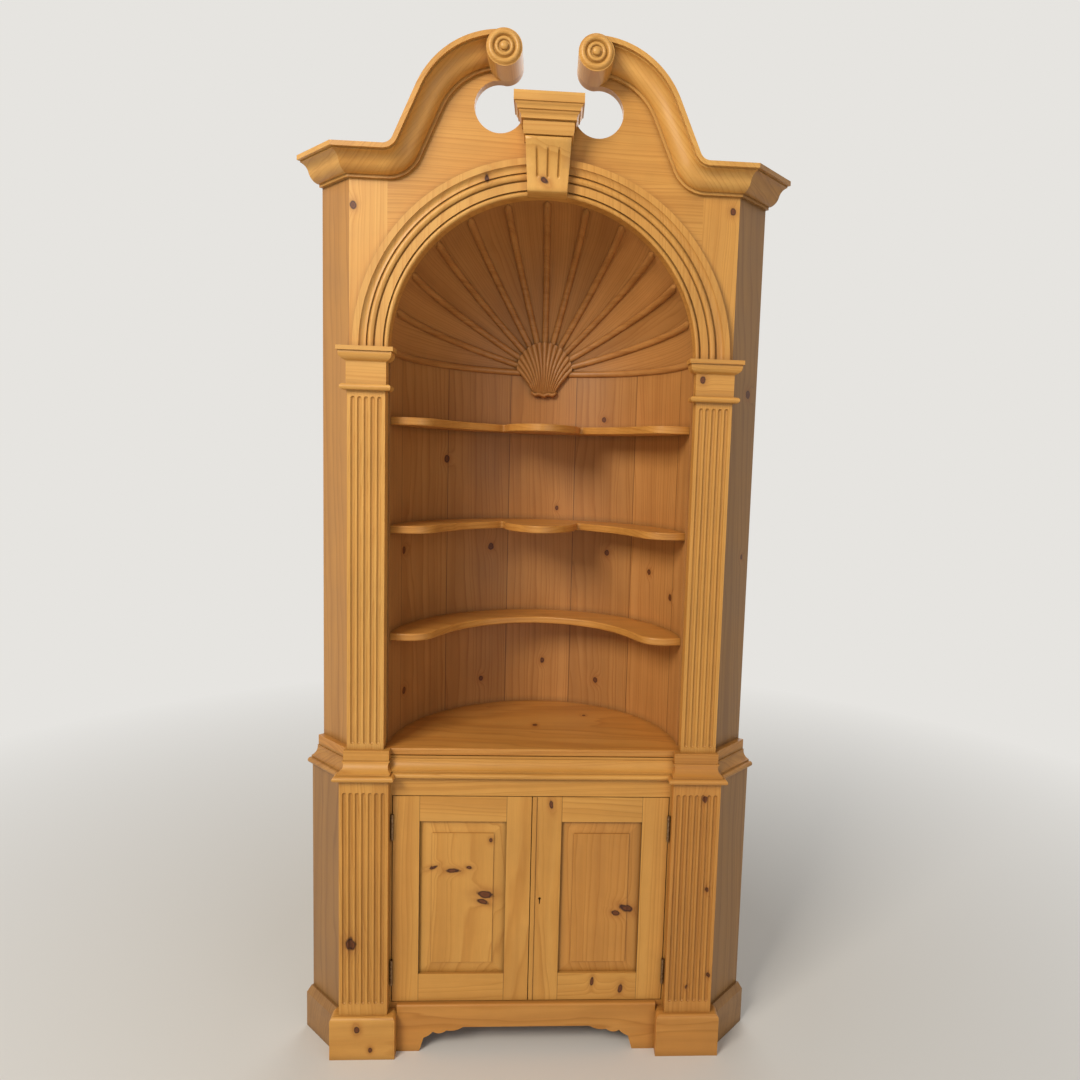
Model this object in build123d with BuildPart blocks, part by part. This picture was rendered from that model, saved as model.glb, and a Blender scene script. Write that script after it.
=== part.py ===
from build123d import *
import os
from math import sin, cos, radians, sqrt, hypot

os.makedirs("parts", exist_ok=True)

# A corner cabinet in two stages, built in pine.
# Millimetres, X across the front, Y towards the corner of the room, Z up.
# While drawing, y = 0 is the face of the upper case. Everything is moved back to centre at the end.

# Plan of the upper case
case_half = 434.0          # half the width of the upper front
cant_step = 80.0           # how far each canted side runs back, in X and in Y
board_t = 22.0             # front boards and canted sides
root2 = sqrt(2.0)
wall_sum = case_half + 2 * cant_step      # the walls of the room are the lines |x| + y = wall_sum

# Plan of the lower case, which stands proud of the upper one
lower_proud = 8.0          # at each corner, beyond the upper case
lower_half = case_half + lower_proud
lower_face = 34.0          # the lower front lies this far in front of the upper front
back_t = 18.0              # rough boards against the walls

# Heights from the floor
plinth_h = 103.0
door_low = 120.0
waist_low = 676.0
door_high = waist_low - 46.0
counter_low = waist_low + 44.0
counter_t = 18.0
counter_high = counter_low + counter_t
spring_z = 1655.5          # the arch springs here

# Niche
stile_w = 83.0             # the upper stiles beside the niche
niche_clear = 4.0          # the niche's back stands this far inside the stiles' edges
upper_stile_in = case_half - stile_w
niche_r = upper_stile_in - niche_clear    # inside of the coopered back
stave_t = 22.0
gore_t = 20.0
arch_r = niche_r - 1.5     # the front boards lap the niche's edge
joint_z = spring_z + arch_r + 40.0        # joint between the spandrel and pediment boards
crown_z = joint_z - 20.0   # underside of the crown moulding
niche_y = board_t          # the half round starts behind the front boards
stave_angle = 30.0
gore_angle = 15.0
bead_r = 6.0

# Pilasters and their capitals
shaft_half = 42.0
shaft_x = case_half - shaft_half - 1.5
shaft_out = 25.0
low_shaft_half = 56.0
low_shaft_x = lower_half - low_shaft_half
low_shaft_out = 25.0
flute_r = 4.8
flute_pitch = 14.6
flute_sunk = 0.6           # the flute's centre line lies this far in front of the face
neck_low = spring_z - 94.5
neck_high = spring_z - 81.5
bed_low = spring_z - 31.5
abacus_low = spring_z - 9.5

# Waist
nose_out = 14.0            # the counter's nosing beyond the upper case
torus_out = 13.0
torus_h = 12.0
fillet_h = 4.0
low_stile_w = 116.0
low_stile_in = lower_half - low_stile_w

# Crown and scrolls
crown_h = 54.0
crown_out = 62.0
board_under_crown = 48.0   # how high the boards reach behind the moulding
sweep_angle = 66.0
sweep_r = 78.0
sweep_run = 117.0
scroll_r = 148.0
volute_r = 38.0
volute_out = 72.0

# Keystone
key_top_half = 50.0
key_foot_half = 43.5
key_foot_z = spring_z + arch_r - 2.0
key_body_top = key_foot_z + 113.0
cap_top = key_body_top + 80.0
cap_out = 25.0
key_out = 50.0

# Doors
door_t = 22.0
door_gap = 2.0
meeting_gap = 2.0
outer_stile_w = 62.0
left_meeting_w = 58.0
right_meeting_w = 70.0
top_rail_h = 61.0
bottom_rail_h = 68.0
groove_d = 8.0
tongue_t = 6.0
panel_play = 0.4
field_in = 28.0

# Hinges
knuckle_r = 3.5
pin_r = 1.5
pin_play = 0.06
leaf_t = 1.5
hinge_h = 63.0
hinge_from_end = 75.0
axis_out = 3.8
knuckle_gap = 0.4

# Base
block_x = low_shaft_x - 0.5
block_half = low_shaft_half + 19.5
block_out = 38.0           # beyond the lower front
side_plinth_t = 18.0
side_plinth_h = 100.0
apron_t = 12.0
apron_h = door_low - 3.0
apron_clear = 60.5         # height of the opening under the apron
floor_t = 18.0

# The cut of the apron, as (in from the bracket foot, height)
scallops = [(4, 34), (16, 40), (26, 49), (42, 45), (58, 52), (78, 52), (98, apron_clear)]

# Shelves
shelf_t = 18.0
shelf_tops = {"shelf_bottom": counter_high + 264.0, "shelf_middle": counter_high + 519.0,
              "shelf_top": counter_high + 770.0}
shelf_front_r = niche_r - 86.0
lobe_r = 46.0
lobe_x = niche_r - 47.0
centre_lobe_half = 88.0
centre_lobe_reach = 108.0

# Drawing helpers. Each one draws into the sketch or line that is open when it is called.


def outline(points, z, height):
    # A flat board or post drawn in plan and raised by height.
    with BuildSketch(Plane.XY.offset(z)) as plan:
        with BuildLine():
            Polyline(*points, close=True)
        make_face()
    extrude(plan.sketch, amount=height)


def moulding(points, flip=1.0, shift=0.0):
    # Points run upwards as (out, height) or (out, height, bulge). A hollow has a negative bulge.
    for low, high in zip(points, points[1:]):
        start = (flip * low[0] + shift, low[1])
        end = (flip * high[0] + shift, high[1])
        if len(high) == 3:
            run_out = high[0] - low[0]
            run_up = high[1] - low[1]
            length = hypot(run_out, run_up)
            mid_out = (low[0] + high[0]) / 2 + high[2] * run_up / length
            mid_up = (low[1] + high[1]) / 2 - high[2] * run_out / length
            ThreePointArc(start, (flip * mid_out + shift, mid_up), end)
        else:
            Line(start, end)


def front_profile(points, face, back, reach):
    # A block seen from its side, with the moulding towards the front.
    with BuildSketch(Plane.YZ) as side_view:
        with BuildLine():
            moulding(points, -1.0, face)
            top = points[-1]
            low = points[0]
            Polyline((face - top[0], top[1]), (back, top[1]), (back, low[1]), (face - low[0], low[1]))
        make_face()
    extrude(side_view.sketch, amount=reach, both=True)


def width_profile(points, centre, half, reach):
    # The same block seen from the front, with the moulding on both sides.
    with BuildSketch(Plane.XZ) as front_view:
        with BuildLine():
            moulding(points, 1.0, centre + half)
            moulding(points, -1.0, centre - half)
            top = points[-1]
            low = points[0]
            Line((centre + half + top[0], top[1]), (centre - half - top[0], top[1]))
            Line((centre + half + low[0], low[1]), (centre - half - low[0], low[1]))
        make_face()
    extrude(front_view.sketch, amount=reach, both=True, mode=Mode.INTERSECT)


def canted_plane(half, face, z=0.0):
    # A plane across the canted side, at the wall of the room, looking forwards along the side.
    x_end = (wall_sum + half + face) / 2
    y_end = wall_sum - x_end
    return Plane(origin=(x_end, y_end, z), x_dir=(1, -1, 0), z_dir=(-1, -1, 0))


def cant_corner(half, face):
    x_end = (wall_sum + half + face) / 2
    return (x_end, wall_sum - x_end)


mitre_in = board_t * sin(radians(22.5)) / cos(radians(22.5))
corner_normal = (cos(radians(22.5)), sin(radians(22.5)), 0)

# Lower case

side_end = cant_corner(lower_half, lower_face)
side_in = (side_end[0] - board_t / root2, side_end[1] + board_t / root2)
lower_back_y = -lower_face + board_t

with BuildPart() as lower_stile_right:
    outline([(low_stile_in, -lower_face), (lower_half, -lower_face),
             (lower_half - mitre_in, lower_back_y), (low_stile_in, lower_back_y)], 0, waist_low + torus_h + fillet_h)
with BuildPart() as lower_stile_left:
    mirror(lower_stile_right.part, about=Plane.YZ)

with BuildPart() as lower_side_right:
    outline([(lower_half, -lower_face), side_end, side_in,
             (lower_half - mitre_in, lower_back_y)], 0, waist_low + torus_h + fillet_h)
with BuildPart() as lower_side_left:
    mirror(lower_side_right.part, about=Plane.YZ)

with BuildPart() as lower_back_right:
    outline([side_in, (0, wall_sum), (0, wall_sum - back_t * root2),
             (side_in[0] - back_t / root2, side_in[1] - back_t / root2)], 0,
            counter_low)
with BuildPart() as lower_back_left:
    mirror(lower_back_right.part, about=Plane.YZ)

with BuildPart() as lower_top_rail:
    with BuildSketch(Plane.XY.offset(door_high + door_gap)):
        with Locations((0, -lower_face + board_t / 2)):
            Rectangle(2 * low_stile_in, board_t)
    extrude(amount=waist_low + torus_h + fillet_h - door_high - door_gap)

with BuildPart() as lower_bottom_rail:
    with BuildSketch(Plane.XY.offset(door_low - door_gap)):
        with Locations((0, -lower_face + board_t / 2)):
            Rectangle(2 * low_stile_in, board_t)
    extrude(amount=-(door_low - door_gap - apron_clear - 4))

floor_y = lower_back_y + 0.5
inner_line = lower_half + lower_face - board_t * root2
back_line = wall_sum - back_t * root2
inner_x = (inner_line + back_line) / 2
floor_side = floor_y + inner_line
with BuildPart() as cupboard_floor:
    outline([(-floor_side, floor_y), (floor_side, floor_y), (inner_x, inner_x - inner_line),
             (0, back_line), (-inner_x, inner_x - inner_line)], door_low - door_gap,
            floor_t)

# Counter board, the top of the lower case

nose_side = case_half + nose_out * root2
nose_end = (wall_sum + nose_side) / 2
with BuildPart() as counter_top:
    outline([(-(nose_side - nose_out), -nose_out), (nose_side - nose_out, -nose_out),
             (nose_end, wall_sum - nose_end), (0, wall_sum), (-nose_end, wall_sum - nose_end)],
            counter_low, counter_t)
    nosing = counter_top.edges().filter_by(Axis.X).sort_by(Axis.Y)[0:2]
    fillet(nosing, counter_t / 4)

# Waist mouldings. The profile leaves the lower face at the torus and hollows back to the counter.


def waist_profile(step, nose):
    low = waist_low
    return [(step, low), (step + torus_out - torus_h / 2, low),
            (step + torus_out - torus_h / 2, low + torus_h, torus_h / 2),
            (step + 3, low + torus_h), (step + 3, low + torus_h + fillet_h),
            (nose + 3, counter_low - 6, -6.0), (nose, counter_low - 6), (nose, counter_low)]


break_front = lower_face + low_shaft_out - shaft_out
break_side = low_shaft_half - shaft_half
break_nose = 10.0

with BuildPart() as waist_breakout_right:
    front_profile(waist_profile(break_front, break_nose) + [(break_nose, counter_high)],
                  -shaft_out, -nose_out,
            case_half + low_shaft_x)
    width_profile(waist_profile(break_side, break_nose) + [(break_nose, counter_high)],
                  low_shaft_x, shaft_half, 4 * break_front)
    # Seat over the stile and the canted side.
    with BuildSketch(Plane.XY.offset(waist_low)):
        with Locations((low_shaft_x, 0)):
            Rectangle(6 * low_shaft_half, 2 * lower_face)
    extrude(amount=torus_h + fillet_h, mode=Mode.SUBTRACT)
with BuildPart() as waist_breakout_left:
    mirror(waist_breakout_right.part, about=Plane.YZ)


def waist_strip(step):
    # Section of the straight runs, which sit on the boards of the case below.
    points = waist_profile(step, nose_out)
    seat = waist_low + torus_h + fillet_h
    return points, [(step - board_t, counter_low), (step - board_t, seat), (step, seat)]


with BuildPart() as waist_moulding_front:
    points, rest = waist_strip(lower_face)
    with BuildSketch(Plane.YZ):
        with BuildLine():
            moulding(points, -1.0, 0.0)
            Polyline((-nose_out, counter_low), *[(-p, z) for p, z in rest], (-lower_face, waist_low))
        make_face()
    extrude(amount=low_shaft_x, both=True)
    for side in (waist_breakout_left, waist_breakout_right):
        add(side.part, mode=Mode.SUBTRACT)
    # Only the run between the two breakouts stays.
    with BuildSketch(Plane.XY.offset(waist_low - 1)):
        Rectangle(2 * (low_shaft_x - shaft_half + 5), 4 * lower_face)
    extrude(amount=counter_t + counter_low - waist_low, mode=Mode.INTERSECT)

side_step = (lower_half + lower_face - case_half) / root2
with BuildPart() as waist_return_right:
    points, rest = waist_strip(side_step)
    with BuildSketch(canted_plane(case_half, 0)):
        with BuildLine():
            moulding(points)
            Polyline((nose_out, counter_low), *rest, (side_step, waist_low))
        make_face()
    extrude(amount=cant_step * root2 + 20)
    add(waist_breakout_right.part, mode=Mode.SUBTRACT)
    # The return stops at the breakout and at the pilaster's seat.
    with BuildSketch(Plane.XY.offset(waist_low - 1)):
        with Locations((low_shaft_x + shaft_half + break_nose + wall_sum / 2, 0)):
            Rectangle(wall_sum, 2 * wall_sum)
    extrude(amount=counter_t + counter_low - waist_low, mode=Mode.INTERSECT)
with BuildPart() as waist_return_left:
    mirror(waist_return_right.part, about=Plane.YZ)

# Upper case

upper_end = cant_corner(case_half, 0)
board_top = crown_z + board_under_crown
with BuildPart() as upper_stile_right:
    outline([(upper_stile_in, 0), (case_half, 0), (case_half - mitre_in, board_t),
             (upper_stile_in, board_t)], counter_high,
            board_top - counter_high)
with BuildPart() as upper_stile_left:
    mirror(upper_stile_right.part, about=Plane.YZ)

with BuildPart() as upper_side_right:
    outline([(case_half, 0), upper_end,
             (upper_end[0] - board_t / root2, upper_end[1] + board_t / root2),
             (case_half - mitre_in, board_t)], counter_high,
            board_top - counter_high)
with BuildPart() as upper_side_left:
    mirror(upper_side_right.part, about=Plane.YZ)

with BuildPart() as spandrel_board:
    with BuildSketch(Plane.XZ):
        with Locations((0, (spring_z + joint_z) / 2)):
            Rectangle(2 * upper_stile_in, joint_z - spring_z)
        with Locations((0, spring_z)):
            Circle(arch_r, mode=Mode.SUBTRACT)
    extrude(amount=-board_t)

# The scrolled pediment. neck() gives the curve of the swan neck at a distance above its lower edge.

rise = radians(sweep_angle)
first_centre = (upper_stile_in, crown_z + sweep_r)
first_end = (first_centre[0] - sweep_r * sin(rise), first_centre[1] - sweep_r * cos(rise))
run_end = (first_end[0] - sweep_run * cos(rise), first_end[1] + sweep_run * sin(rise))
scroll_centre = (run_end[0] - scroll_r * sin(rise), run_end[1] - scroll_r * cos(rise))
volute_x = scroll_centre[0]
volute_z = scroll_centre[1] + scroll_r + crown_h - volute_r


def on_first(angle, off):
    reach = sweep_r - off
    return (first_centre[0] - reach * sin(angle), first_centre[1] - reach * cos(angle))


def on_scroll(angle, off):
    reach = scroll_r + off
    return (scroll_centre[0] + reach * sin(angle), scroll_centre[1] + reach * cos(angle))


def neck(off):
    ThreePointArc(on_first(0, off), on_first(rise / 2, off), on_first(rise, off))
    Line(on_first(rise, off), on_scroll(rise, off))
    ThreePointArc(on_scroll(rise, off), on_scroll(rise / 2, off), on_scroll(0, off))


eye_r = 55.0
eye_x = volute_x + 12.0
eye_z = volute_z - volute_r - eye_r + 1.2
board_neck_top = cap_top - 6.0
with BuildPart() as pediment_board:
    with BuildSketch(Plane.XZ) as board_face:
        with BuildLine():
            Line((0, joint_z), (upper_stile_in, joint_z))
            Line((upper_stile_in, joint_z), on_first(0, board_under_crown))
            neck(board_under_crown)
            Polyline(on_scroll(0, board_under_crown), (volute_x, board_neck_top),
                     (0, board_neck_top), (0, joint_z))
        make_face()
        with Locations((volute_x, volute_z)):
            Circle(volute_r)
        with Locations((eye_x, eye_z)):
            Circle(eye_r, mode=Mode.SUBTRACT)
        mirror(about=Plane.YZ)
    extrude(amount=-board_t)

crown_section = [(0, 0), (8, 0), (8, 6), (13, 6), (34, 25, 4.0), (crown_out - 8, 41, -4.0),
                 (crown_out - 8, crown_h - 10), (crown_out, crown_h - 10), (crown_out, crown_h)]


def crown_sketch(plane):
    with BuildSketch(plane) as section:
        with BuildLine():
            moulding(crown_section)
            Polyline((crown_out, crown_h), (0, crown_h), (0, 0))
        make_face()
    return section.sketch


with BuildPart() as crown_right:
    start_x = case_half + crown_out
    with BuildLine(Plane.XZ) as swan_path:
        Line((start_x, crown_z), on_first(0, 0))
        neck(0)
    section = crown_sketch(Plane(origin=(start_x, 0, crown_z), x_dir=(0, -1, 0), z_dir=(-1, 0, 0)))
    sweep(section, path=swan_path.wires()[0])
    split(bisect_by=Plane(origin=(case_half, 0, 0), z_dir=corner_normal), keep=Keep.BOTTOM)
    # The moulding dies into the roll of the volute.
    with BuildSketch(Plane.XZ):
        with Locations((volute_x, volute_z)):
            Circle(volute_r)
        with Locations((volute_x, volute_z)):
            Rectangle(2 * volute_r / 3, 4 * volute_r)
    extrude(amount=2 * crown_out, mode=Mode.SUBTRACT)
with BuildPart() as crown_left:
    mirror(crown_right.part, about=Plane.YZ)

with BuildPart() as crown_return_right:
    section = crown_sketch(canted_plane(case_half, 0, crown_z))
    extrude(section, amount=(cant_step + crown_out) * root2)
    split(bisect_by=Plane(origin=(case_half, 0, 0), z_dir=corner_normal), keep=Keep.TOP)
with BuildPart() as crown_return_left:
    mirror(crown_return_right.part, about=Plane.YZ)

volute_face = [(0, 6), (8, 3, 1.2), (9, -2), (12, -2), (20, -2, 3.6), (22, -4), (24, -1),
               (34, -1, 3.0), (36, -4), (volute_r, -4)]
with BuildPart() as volute_right:
    with BuildSketch(Plane.XY.offset(volute_z)):
        with BuildLine():
            moulding([(volute_x + p[0], -(volute_out + p[1])) + tuple(p[2:])
                      for p in volute_face])
            Polyline((volute_x + volute_r, -(volute_out + volute_face[-1][1])),
                     (volute_x + volute_r, 0), (volute_x, 0),
                     (volute_x, -(volute_out + volute_face[0][1])))
        make_face()
    revolve(axis=Axis((volute_x, 0, volute_z), (0, 1, 0)), revolution_arc=360)
with BuildPart() as volute_left:
    mirror(volute_right.part, about=Plane.YZ)

# Keystone, a fluted console with its own moulded cap

with BuildPart() as keystone:
    with BuildSketch(Plane.XZ):
        with BuildLine():
            Polyline((-key_foot_half, key_foot_z), (key_foot_half, key_foot_z),
                     (key_top_half, key_body_top), (-key_top_half, key_body_top), close=True)
        make_face()
    extrude(amount=2 * key_out)
    with BuildSketch(Plane.YZ):
        with BuildLine():
            moulding([(32, key_foot_z), (36, key_foot_z + 14, 4.0), (37, key_foot_z + 50, -3.0),
                      (key_out + 6, key_body_top - 14, -6.0), (key_out + 6, key_body_top, 4.0)],
                     -1.0)
            Polyline((-(key_out + 6), key_body_top), (0, key_body_top), (0, key_foot_z),
                     (-32, key_foot_z))
        make_face()
    extrude(amount=key_top_half + 1, both=True, mode=Mode.INTERSECT)
    for x in (-23.0, 0.0, 23.0):
        with BuildSketch(Plane(origin=(x, -62, key_body_top - 12), z_dir=(0, -10, -60))):
            Circle(5)
        extrude(amount=66, mode=Mode.SUBTRACT)

with BuildPart() as keystone_cap:
    cap_points = [(2, key_body_top), (2, key_body_top + 20), (5, key_body_top + 22),
                  (12, key_body_top + 34, -3.0), (12, key_body_top + 44),
                  (cap_out - 6, key_body_top + 58, 4.0), (cap_out - 6, key_body_top + 62),
                  (cap_out, key_body_top + 62), (cap_out, cap_top)]
    front_profile(cap_points, -key_out, 0, 3 * key_top_half)
    width_profile(cap_points, 0, key_top_half, 4 * key_out)

# Archivolt, two moulded quarters from the capitals to the keystone

band_w = 78.0
band = [(0, 0), (0, 10), (9, 10, 3.0), (9.5, 6), (12, 6), (12, 12), (29, 12), (29, 8), (32, 8),
        (33, 13), (45, 13, 3.0), (46, 8), (49, 8), (49, 12), (64, 16, -3.0), (64, 18), (band_w, 18),
        (band_w, 0)]
with BuildPart() as archivolt_right:
    with BuildSketch(Plane.XY.offset(spring_z)):
        with BuildLine():
            moulding([(arch_r + p[0], -p[1]) + tuple(p[2:]) for p in band])
            Line((arch_r + band_w, 0), (arch_r, 0))
        make_face()
    revolve(axis=Axis((0, 0, spring_z), (0, -1, 0)), revolution_arc=89)
    with BuildSketch(Plane.XZ):
        with BuildLine():
            slope = (key_top_half - key_foot_half) / (key_body_top - key_foot_z)
            Polyline((-key_foot_half, key_foot_z - 40), (key_foot_half - 40 * slope, key_foot_z - 40),
                     (key_top_half, key_body_top), (-key_foot_half, key_body_top), close=True)
        make_face()
    extrude(amount=2 * key_out, mode=Mode.SUBTRACT)
with BuildPart() as archivolt_left:
    mirror(archivolt_right.part, about=Plane.YZ)

# Pilasters. The flutes have round ends.


def flutes(count, centre, face, low, high):
    # Cuts round-ended flutes into the open part.
    first = centre - (count - 1) * flute_pitch / 2
    y = face - flute_sunk
    for i in range(count):
        x = first + i * flute_pitch
        with Locations((x, y, (low + high) / 2)):
            Cylinder(flute_r, high - low - 2 * flute_r, mode=Mode.SUBTRACT)
        with Locations((x, y, low + flute_r), (x, y, high - flute_r)):
            Sphere(flute_r, mode=Mode.SUBTRACT)


with BuildPart() as upper_pilaster_right:
    with BuildSketch(Plane.XY.offset(counter_high)):
        with Locations((shaft_x, -shaft_out / 2)):
            Rectangle(2 * shaft_half, shaft_out)
    extrude(amount=neck_low - counter_high)
    flutes(5, shaft_x, -shaft_out, counter_high + 12, neck_low - 13)
with BuildPart() as upper_pilaster_left:
    mirror(upper_pilaster_right.part, about=Plane.YZ)

with BuildPart() as lower_pilaster_right:
    with BuildSketch(Plane.XY.offset(plinth_h)):
        with Locations((low_shaft_x, -lower_face - low_shaft_out / 2)):
            Rectangle(2 * low_shaft_half, low_shaft_out)
    extrude(amount=waist_low - plinth_h)
    flutes(7, low_shaft_x, -lower_face - low_shaft_out, plinth_h + 27, waist_low - 28)
with BuildPart() as lower_pilaster_left:
    mirror(lower_pilaster_right.part, about=Plane.YZ)

with BuildPart() as capital_right:
    cap_side = [(3, neck_low), (8, neck_low), (8, neck_high, 6.0), (2, neck_high),
                (2, bed_low), (5, bed_low + 2), (16, abacus_low - 2, 4.0), (16, abacus_low),
                (20, abacus_low), (20, spring_z)]
    front_profile(cap_side, -shaft_out, 0, case_half + 4 * shaft_half)
    width_profile(cap_side, shaft_x, shaft_half, 6 * shaft_out)
with BuildPart() as capital_left:
    mirror(capital_right.part, about=Plane.YZ)

# Coopered back of the niche and the gores of its half dome

edges_at = [0.0, 15.0, 45.0, 75.0, 105.0, 135.0, 165.0, 180.0]
stave_list = []
for low, high in zip(edges_at, edges_at[1:]):
    with BuildPart() as one_stave:
        with BuildSketch(Plane.XZ):
            with Locations((niche_r + stave_t / 2, (counter_high + spring_z) / 2)):
                Rectangle(stave_t, spring_z - counter_high)
        revolve(axis=Axis((0, 0, 0), (0, 0, 1)), revolution_arc=high - low)
    stave_list.append(one_stave.part.moved(Location((0, niche_y, 0), (0, 0, low))))

gore_list = []
gore_count = round(180.0 / gore_angle)
for i in range(gore_count):
    with BuildPart() as one_gore:
        with BuildSketch(Plane.XY):
            with BuildLine():
                outer = niche_r + gore_t
                ThreePointArc((niche_r, 0), (niche_r / root2, niche_r / root2), (0, niche_r))
                ThreePointArc((outer, 0), (outer / root2, outer / root2), (0, outer))
                Line((niche_r, 0), (outer, 0))
                Line((0, niche_r), (0, outer))
            make_face()
        revolve(axis=Axis((0, 0, 0), (0, -1, 0)), revolution_arc=gore_angle)
    gore_list.append(one_gore.part.moved(
        Location((0, niche_y, spring_z), (0, -i * gore_angle, 0))))

rib_list = []
rib_end = 77.0           # the ribs stop round the shell
rib_gap = bead_r * bead_r / niche_r
for i in range(gore_count + 1):
    with BuildPart() as one_rib:
        with BuildSketch(Plane.XZ):
            with BuildLine():
                seat = niche_r - rib_gap
                ThreePointArc((seat, bead_r), (seat - bead_r, 0), (seat, -bead_r))
                Line((seat, -bead_r), (seat, bead_r))
            make_face()
        revolve(axis=Axis((0, 0, 0), (0, 0, 1)), revolution_arc=rib_end)
    rib_list.append(one_rib.part.moved(
        Location((0, niche_y, spring_z), (0, -i * gore_angle, 0))))

# Shell carved on the back, a fan of ribs over a short neck

shell_y = niche_y + niche_r
shell_root = spring_z - 45.0
shell_long = 118.0
shell_count = 13
shell_fan = 78.0           # the outer ribs lean this far from upright
shell_d = 22.0
lobe_tip = 9.0


def shell_point(turn, reach, aside=0.0):
    lean = radians(turn)
    return (reach * sin(lean) + aside * cos(lean), shell_root + reach * cos(lean) - aside * sin(lean))


shell_turns = [-shell_fan + i * 2 * shell_fan / (shell_count - 1) for i in range(shell_count)]
niche_seat = niche_r - 0.05
with BuildPart() as niche_space:
    with Locations((0, niche_y, spring_z)):
        Sphere(niche_seat)
    with Locations((0, niche_y, spring_z - niche_r / 2)):
        Cylinder(niche_seat, niche_r)
with BuildPart() as shell_carving:
    with BuildSketch(Plane.XZ.offset(shell_d - shell_y)):
        with Locations((0, shell_root - 7)):
            Rectangle(44, 18)
        for turn in shell_turns:
            reach = shell_long * (0.52 + 0.48 * cos(radians(turn))) - lobe_tip
            Polygon(shell_point(turn, -6), shell_point(turn, reach, lobe_tip),
                    shell_point(turn, reach, -lobe_tip), align=None)
            with Locations(shell_point(turn, reach)):
                Circle(lobe_tip)
    extrude(amount=-shell_d)
    for low, high in zip(shell_turns, shell_turns[1:]):
        turn = (low + high) / 2
        mid = shell_point(turn, 0.62 * shell_long)
        with Locations(Location((mid[0], shell_y - shell_d, mid[1]), (0, turn, 0))):
            Box(2.4, 9, 0.7 * shell_long, mode=Mode.SUBTRACT)
    add(niche_space.part, mode=Mode.INTERSECT)

shelf_parts = {}
for name, top in shelf_tops.items():
    with BuildPart() as one_shelf:
        with BuildSketch(Plane.XY.offset(top - shelf_t)):
            with Locations((0, niche_y)):
                Circle(niche_r)
            with Locations((0, niche_y)):
                Circle(shelf_front_r, mode=Mode.SUBTRACT)
            with Locations((0, niche_y - niche_r / 2)):
                Rectangle(2 * niche_r + 2, niche_r, mode=Mode.SUBTRACT)
            with Locations((lobe_x, niche_y + 40), (-lobe_x, niche_y + 40)):
                Circle(lobe_r - 5)
            if name != "shelf_bottom":
                with BuildLine():
                    cusp_y = niche_y + sqrt(shelf_front_r ** 2 - centre_lobe_half ** 2)
                    ThreePointArc((-centre_lobe_half, cusp_y), (0, cusp_y - centre_lobe_reach),
                                  (centre_lobe_half, cusp_y))
                    Polyline((centre_lobe_half, cusp_y), (centre_lobe_half, cusp_y + 10),
                             (-centre_lobe_half, cusp_y + 10), (-centre_lobe_half, cusp_y))
                make_face()
        extrude(amount=shelf_t)
    shelf_parts[name] = one_shelf

# Base: plinth blocks, side plinths and the cut apron with its bracket feet

plinth_line = lower_half + lower_face + side_plinth_t * root2
block_in = block_x - block_half
block_edge = block_x + block_half
block_face = -(lower_face + block_out)
side_front = (block_edge, block_edge - plinth_line)
side_foot = (block_edge - side_plinth_t / root2, block_edge - plinth_line + side_plinth_t / root2)
with BuildPart() as plinth_block_right:
    outline([(block_in, block_face), (block_edge, block_face), side_front, side_foot,
             (lower_half, -lower_face), (block_in, -lower_face)], 0,
            plinth_h)
    rim = plinth_block_right.edges().group_by(Axis.Z)[-1]
    shaped = rim.filter_by(Axis.X).sort_by(Axis.Y)[0:1]
    shaped = shaped + rim.filter_by(Axis.Y)
    fillet(shaped, 9)
with BuildPart() as plinth_block_left:
    mirror(plinth_block_right.part, about=Plane.YZ)

plinth_end_x = (wall_sum + plinth_line) / 2
with BuildPart() as side_plinth_right:
    outline([side_front, (plinth_end_x, wall_sum - plinth_end_x), side_end, side_foot], 0,
            side_plinth_h)
    top_edges = side_plinth_right.edges().group_by(Axis.Z)[-1]
    long_edges = top_edges.sort_by(Edge.length)[-2:]
    chamfer(long_edges.sort_by(Axis.X)[-1:], side_plinth_t * 0.7)
with BuildPart() as side_plinth_left:
    mirror(side_plinth_right.part, about=Plane.YZ)

with BuildPart() as front_apron:
    foot_in = block_in - 60.0
    cut = [(foot_in - run, height) for run, height in scallops]
    with BuildSketch(Plane.XZ.offset(lower_face)):
        with BuildLine():
            Line((0, apron_h), (block_in, apron_h))
            Line((block_in, apron_h), (block_in, 0))
            Line((block_in, 0), (foot_in + 6, 0))
            Line((foot_in + 6, 0), cut[0])
            ThreePointArc(*cut[0:3])
            ThreePointArc(*cut[2:5])
            ThreePointArc(*cut[4:7])
            Line(cut[6], (0, apron_clear))
            Line((0, apron_clear), (0, apron_h))
        make_face()
        mirror(about=Plane.YZ)
    extrude(amount=apron_t)
    bead_edges = front_apron.edges().group_by(Axis.Z)[-1].filter_by(Axis.X).sort_by(Axis.Y)[0:1]
    fillet(bead_edges, 5)

# Doors. Each has two stiles, two rails and a raised and fielded panel held in grooves.

door_outer = low_stile_in - door_gap
door_y = -lower_face + door_t / 2
panel_t = door_t - 8.0


def door_member(x_low, x_high, z_low, z_high, hole):
    # One board of a door, with the panel's groove cut in its inner edge.
    with BuildPart() as member:
        with Locations(((x_low + x_high) / 2, door_y, (z_low + z_high) / 2)):
            Box(x_high - x_low, door_t, z_high - z_low)
        with Locations(((hole[0] + hole[1]) / 2, door_y, (hole[2] + hole[3]) / 2)):
            Box(hole[1] - hole[0] + 2 * groove_d, tongue_t + 2 * panel_play,
                hole[3] - hole[2] + 2 * groove_d, mode=Mode.SUBTRACT)
    return member.part


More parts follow.
